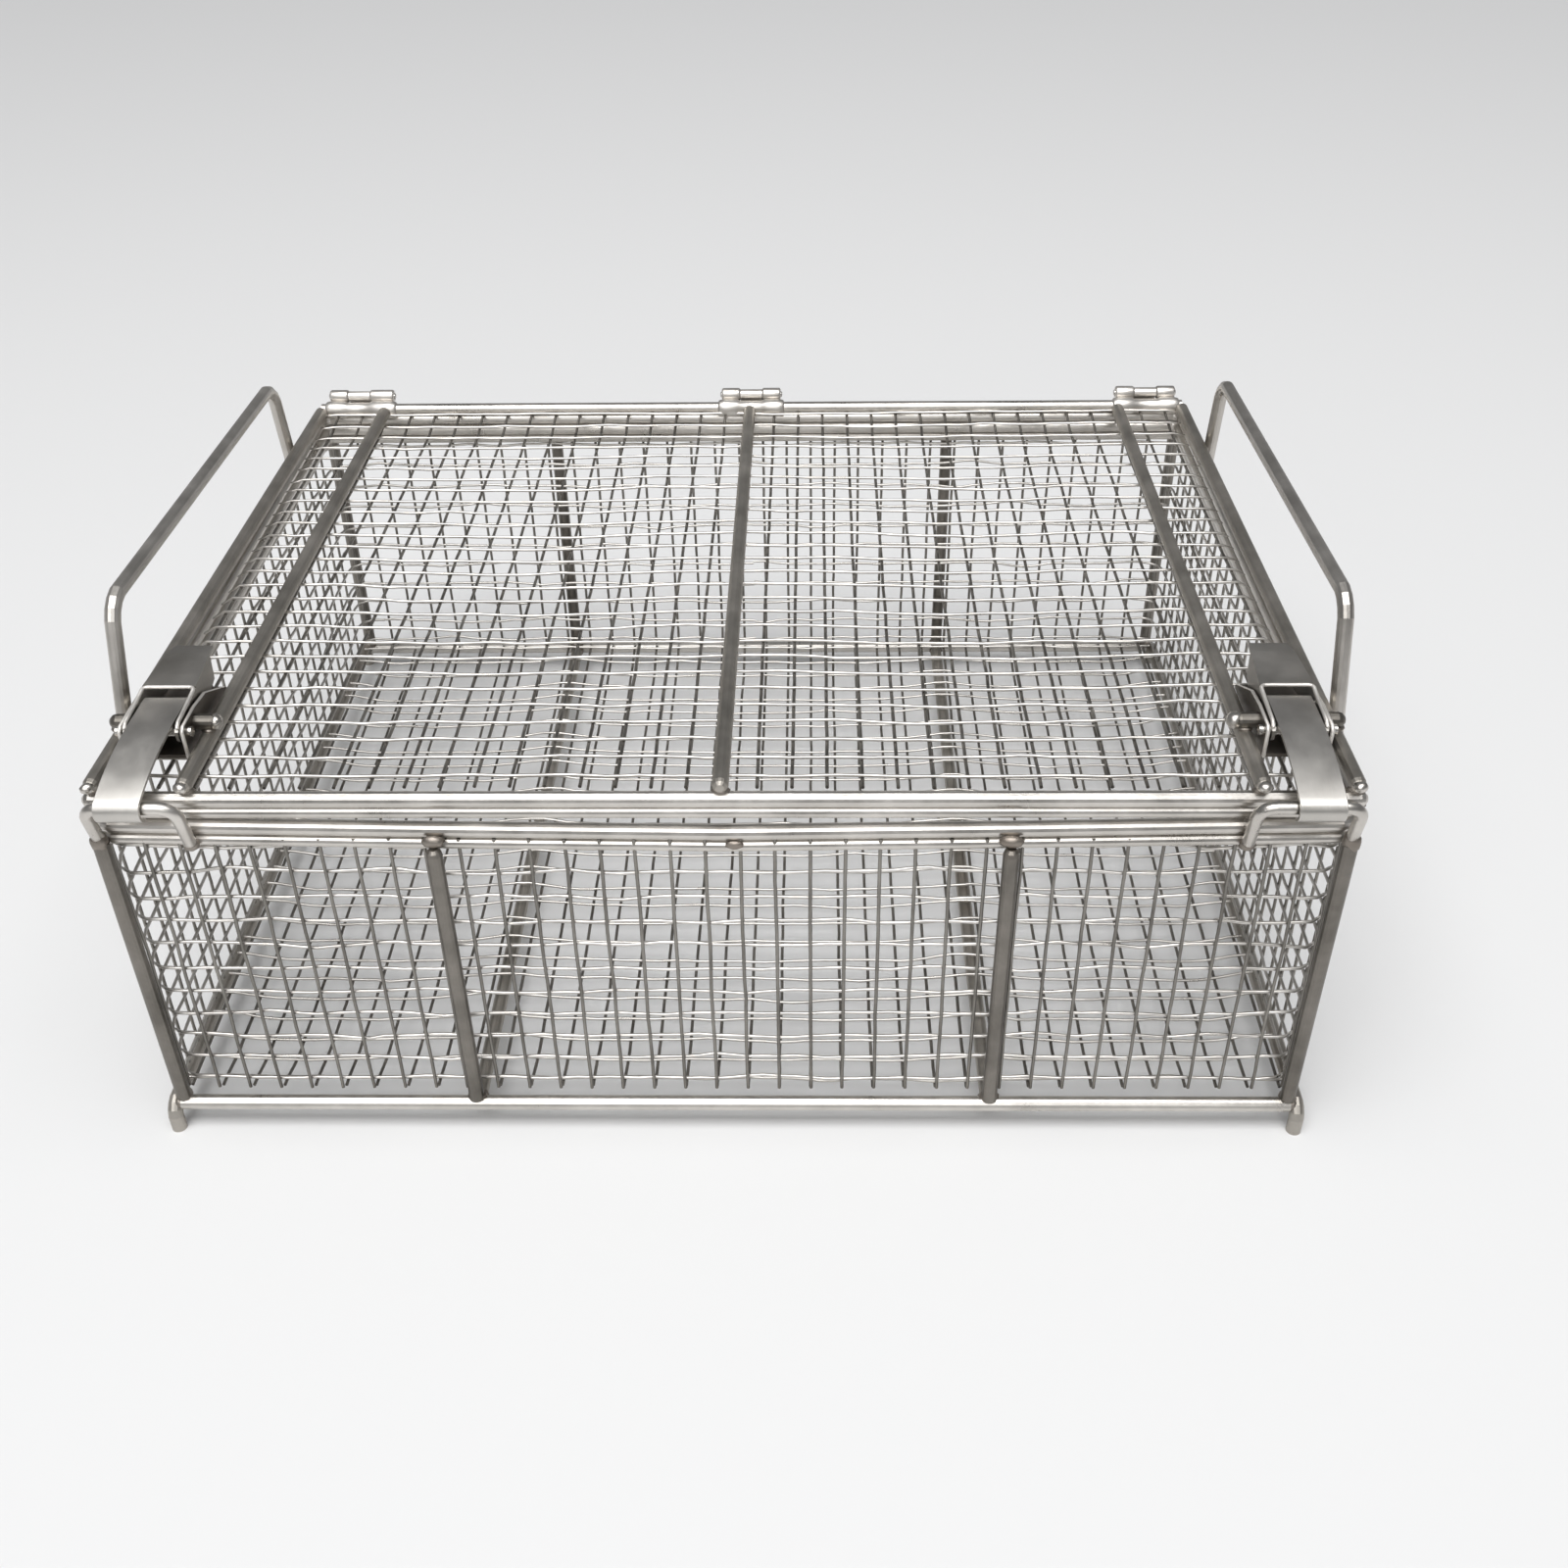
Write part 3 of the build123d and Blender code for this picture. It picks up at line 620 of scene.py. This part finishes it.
def make_strap(side, name):
    """Sheet of one thickness along the centre line, leaning outwards towards the hook."""
    line = strap_line()
    n = len(line)
    verts, faces = [], []
    for i, (y, z) in enumerate(line):
        before = Vector(line[i]) - Vector(line[i - 1]) if i else Vector(line[1]) - Vector(line[0])
        after = Vector(line[i + 1]) - Vector(line[i]) if i < n - 1 else before
        way = (before.normalized() + after.normalized()).normalized()
        normal = Vector((-way.y, way.x)) * (STRAP_T / 2)
        far = max(0.0, (LEAN_FROM - y) / (LEAN_FROM - CATCH_BAR[0] + 2 * HOOK_R))
        cx = side * (LATCH_X + STRAP_LEAN[side] * far)
        for x in (cx - STRAP_HALF, cx + STRAP_HALF):
            for sign in (1, -1):
                verts.append((x, y + sign * normal.x, z + sign * normal.y))
    for i in range(n - 1):
        a, b = 4 * i, 4 * i + 4
        faces.append((a, a + 2, b + 2, b))
        faces.append((a + 1, b + 1, b + 3, a + 3))
        faces.append((a, b, b + 1, a + 1))
        faces.append((a + 2, a + 3, b + 3, b + 2))
    faces.append((0, 1, 3, 2))
    faces.append((4 * n - 4, 4 * n - 2, 4 * n - 1, 4 * n - 3))
    strap = smooth_mesh(f"strap_{name}", verts, faces, f"strap_{name}", STRAP_STEEL, "latch_sheet",
                        bevel=0.14)
    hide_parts(f"latch_{name}_strap")


def make_lever_rim(side, name):
    """Rolled edge along the front of the lever's top plate and down both legs, near white as a painted
    highlight.
    """
    by, bz = BASE_PIN
    lever_half = 6.46
    corner_r, corner_steps = 1.3, 4
    top_y, top_z = 30.3 - HALF_Y, LID_Z + 8.3
    leg = [(by - 1.6, bz + 2.0), (by - 0.2, bz + 2.85), (by + 3.0, bz + 3.0), (by + 8.0, bz + 3.35),
           (top_y - 1.6, top_z - 0.1)]
    cx = side * LATCH_X
    path = [(cx - lever_half, y, z) for y, z in leg]
    for k in range(corner_steps + 1):
        a = pi / 2 * k / corner_steps
        path.append((cx - lever_half + corner_r * (1 - cos(a)), top_y - 1.2 + corner_r * sin(a),
                     top_z + 0.05))
    path += [(2 * cx - x, y, z) for x, y, z in path[::-1]]
    verts, faces = tube(path, EDGE_R)
    smooth_mesh(f"lever_rim_{name}", verts, faces, f"lever_{name}", EDGE_HIGHLIGHT, "latch_sheet")


def make_base_rims(side, name):
    """Cut edges of the two ears of a latch base, near white as a painted highlight."""
    by, bz = BASE_PIN
    ear_half = 7.7
    ear = ((by - 2.3, LID_Z - 1.6), (by - 2.3, bz + 1.2), (by - 1.2, bz + 2.0), (by + 7.4, bz + 2.0),
           (by + 15.4, bz + 0.9), (by + 27.8, LID_Z - 1.0))
    rims = ([], [])
    for way in (-1, 1):
        gather(rims, tube([(side * LATCH_X + way * ear_half, y, z) for y, z in ear], EDGE_R))
    smooth_mesh(f"base_rims_{name}", *rims, "lid", EDGE_HIGHLIGHT, "latch_sheet")


def rounded(corners, radius, steps=6):
    """A polyline with its corners turned into arcs."""
    points = [Vector(p) for p in corners]
    path = [points[0]]
    for a, b, c in zip(points, points[1:], points[2:]):
        into, away = (a - b).normalized(), (c - b).normalized()
        half = into.angle(away) / 2
        centre = b + (into + away).normalized() * radius / sin(half)
        start = b + into * radius / tan(half) - centre
        end = b + away * radius / tan(half) - centre
        turn = start.angle(end)
        for k in range(steps + 1):
            t = k / steps
            path.append(centre + (start * sin((1 - t) * turn) + end * sin(t * turn)) / sin(turn))
    path.append(points[-1])
    return path


def make_catch(side, name):
    """Bent rod the strap hooks on: its inner leg ends against the lower rim."""
    outer_x = side * CORNER_X
    inner_x = side * (128.4 if side < 0 else 125.9)
    by, bz = CATCH_BAR
    bend_r = 4.0
    corners = ((outer_x, by + 3.35, LOW_RIM_Z + 1.3), (outer_x, by, bz), (inner_x, by, bz),
               (inner_x, by + 3.2, LOW_RIM_Z + 1.1))
    verts, faces = tube(rounded(corners, bend_r), THIN_R, dome=0.5, steps=16)
    # the lighter rod steel: its tone is painted highlight, as on the other rods across
    rod = smooth_mesh(f"catch_rod_{name}", verts, faces, "basket", LIT_BAR, "rods")
    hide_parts(f"catch_{name}")


for side, name in ((-1, "left"), (1, "right")):
    make_strap(side, name)
    make_lever_rim(side, name)
    make_base_rims(side, name)
    make_catch(side, name)

HINGE_X = (-137.5, 0.5, 138.0)
HINGE_PIN = (HALF_Y + 3.8, BAR_Z + 3.3)       # in (y, z)
HINGE_NAMES = ("left", "middle", "right")


def collar(x0, x1, centre, outer, inner, steps=20):
    """Short hollow barrel along X with softened rims."""
    profile = ((x0, inner), (x0, outer - 0.5), (x0 + 0.25, outer - 0.15), (x0 + 0.6, outer),
               (x1 - 0.6, outer), (x1 - 0.25, outer - 0.15), (x1, outer - 0.5), (x1, inner))
    turn = [2 * pi * k / steps for k in range(steps)]
    verts = [(x, centre[0] + r * cos(a), centre[1] + r * sin(a)) for x, r in profile for a in turn]
    faces = []
    for i in range(len(profile)):
        j = (i + 1) % len(profile)
        for k in range(steps):
            m = (k + 1) % steps
            faces.append((i * steps + k, i * steps + m, j * steps + m, j * steps + k))
    return verts, faces


def make_hinge_rolls():
    """The lid leaves: rolled barrels round the pins and pressed sleeves round the back bar."""
    leaf_half, long_half = 10.3, 12.2         # the left leaf is longer at its inner end
    knuckle_half = 3.8
    barrel_r, pin_bore, pin_r = 2.25, 1.12, 1.0
    sleeve_r, end_r, pressed_r = 3.0, 2.7, 2.45
    rolls, pins = ([], []), ([], [])
    for x in HINGE_X:
        end = long_half if x == HINGE_X[0] else leaf_half
        for a, b in ((-leaf_half, -knuckle_half), (knuckle_half, end)):
            gather(rolls, collar(x + a, x + b, HINGE_PIN, barrel_r, pin_bore))
        # the sleeve is pressed in behind the knuckle
        stations = ((-11.0, end_r), (-9.6, sleeve_r), (-4.8, sleeve_r), (-4.0, pressed_r), (4.0, pressed_r),
                    (4.8, sleeve_r), (end - 0.7, sleeve_r), (end + 0.7, end_r))
        gather(rolls, tube([(x + dx, HALF_Y, BAR_Z) for dx, r in stations], [r for dx, r in stations],
                           dome=0.3, steps=20))
        pin_line = [(x - leaf_half - 0.2, *HINGE_PIN), (x + end + 0.2, *HINGE_PIN)]
        gather(pins, tube(pin_line, pin_r, dome=0.4))
    leaves = smooth_mesh("hinge_rolls", *rolls, "lid", HINGE_STEEL, "hinge_sheet")
    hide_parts(*[f"hinge_{side}_lid_leaf" for side in HINGE_NAMES])
    rods = smooth_mesh("hinge_pins", *pins, "basket", PIN_STEEL, "pins")
    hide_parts(*[f"hinge_{side}_pin" for side in HINGE_NAMES])


make_hinge_rolls()


# ---- finish of the solid pieces --------------------------------------------------------------

def finish_for(name):
    """Steel of a solid piece that is shown as it is."""
    if "pin" in name:
        return PIN_STEEL
    if "leaf" in name:
        return HINGE_STEEL
    if name.endswith("_base"):
        return DARK_SHEET
    if name.endswith("_lever"):
        return SHEET_STEEL
    if name.startswith("handle"):
        return HANDLE_STEEL
    # uprights and cross rods get the darker steel: its tone is painted shade
    if name.startswith("upright") or name.endswith("cross_rod"):
        return SHADED_UPRIGHT
    # rims, ring, lid bars and the front and back floor rods run across: lighter steel as painted highlight
    bright = ("rim", "lid_ring", "lid_bar", "floor_rod_front", "floor_rod_back")
    return LIT_BAR if any(word in name for word in bright) else ROD_STEEL


for name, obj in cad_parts.items():
    paint(obj, finish_for(name))


# ---- floor, light and camera ------------------------------------------------------------------

def plain(name, colour, rough):
    mat = bpy.data.materials.new(name)
    mat.use_nodes = True
    surface = mat.node_tree.nodes["Principled BSDF"]
    surface.inputs["Base Color"].default_value = (*colour, 1)
    surface.inputs["Roughness"].default_value = rough
    return mat


bpy.ops.mesh.primitive_plane_add(size=6.0, location=(0, 0, 0))
ground = bpy.context.object
ground.name = "ground"
paint(ground, plain("pale_ground", (0.74, 0.74, 0.74), 0.9))


def softbox(name, place, aim, size, power):
    """A rectangular light, in metres and watts, turned towards a point."""
    light = bpy.data.lights.new(name, "AREA")
    light.shape = "RECTANGLE"
    light.size, light.size_y = size
    light.energy = power
    obj = bpy.data.objects.new(name, light)
    bpy.context.scene.collection.objects.link(obj)
    obj.location = place
    obj.rotation_euler = (Vector(aim) - Vector(place)).to_track_quat("-Z", "Y").to_euler()


basket_middle = (0, 0, 0.05)
softbox("overhead", (0.0, -0.35, 1.5), basket_middle, (1.8, 0.9), 13)
softbox("front_fill", (-0.3, -1.7, 1.1), basket_middle, (1.8, 0.7), 7)

sky = bpy.data.lights.new("soft_sun", "SUN")
sky.energy = 1.7
sky.angle = radians(50)
sun = bpy.data.objects.new("soft_sun", sky)
bpy.context.scene.collection.objects.link(sun)
sun.rotation_euler = (radians(22), radians(-8), 0)

world = bpy.data.worlds.new("studio")
bpy.context.scene.world = world
world.use_nodes = True
world.node_tree.nodes["Background"].inputs[0].default_value = (0.82, 0.83, 0.85, 1)
world.node_tree.nodes["Background"].inputs[1].default_value = 0.25

camera = bpy.data.cameras.new("camera")
camera.lens = 37.497
camera.sensor_width = 36.0
camera.clip_start = 0.01
eye = bpy.data.objects.new("camera", camera)
bpy.context.scene.collection.objects.link(eye)
eye.location = (0.02198, -0.42447, 0.34260)
eye.rotation_euler = Euler((radians(53.543), radians(0.648), radians(0.782)), "XYZ")
bpy.context.scene.camera = eye

bpy.context.scene.view_settings.view_transform = "Standard"
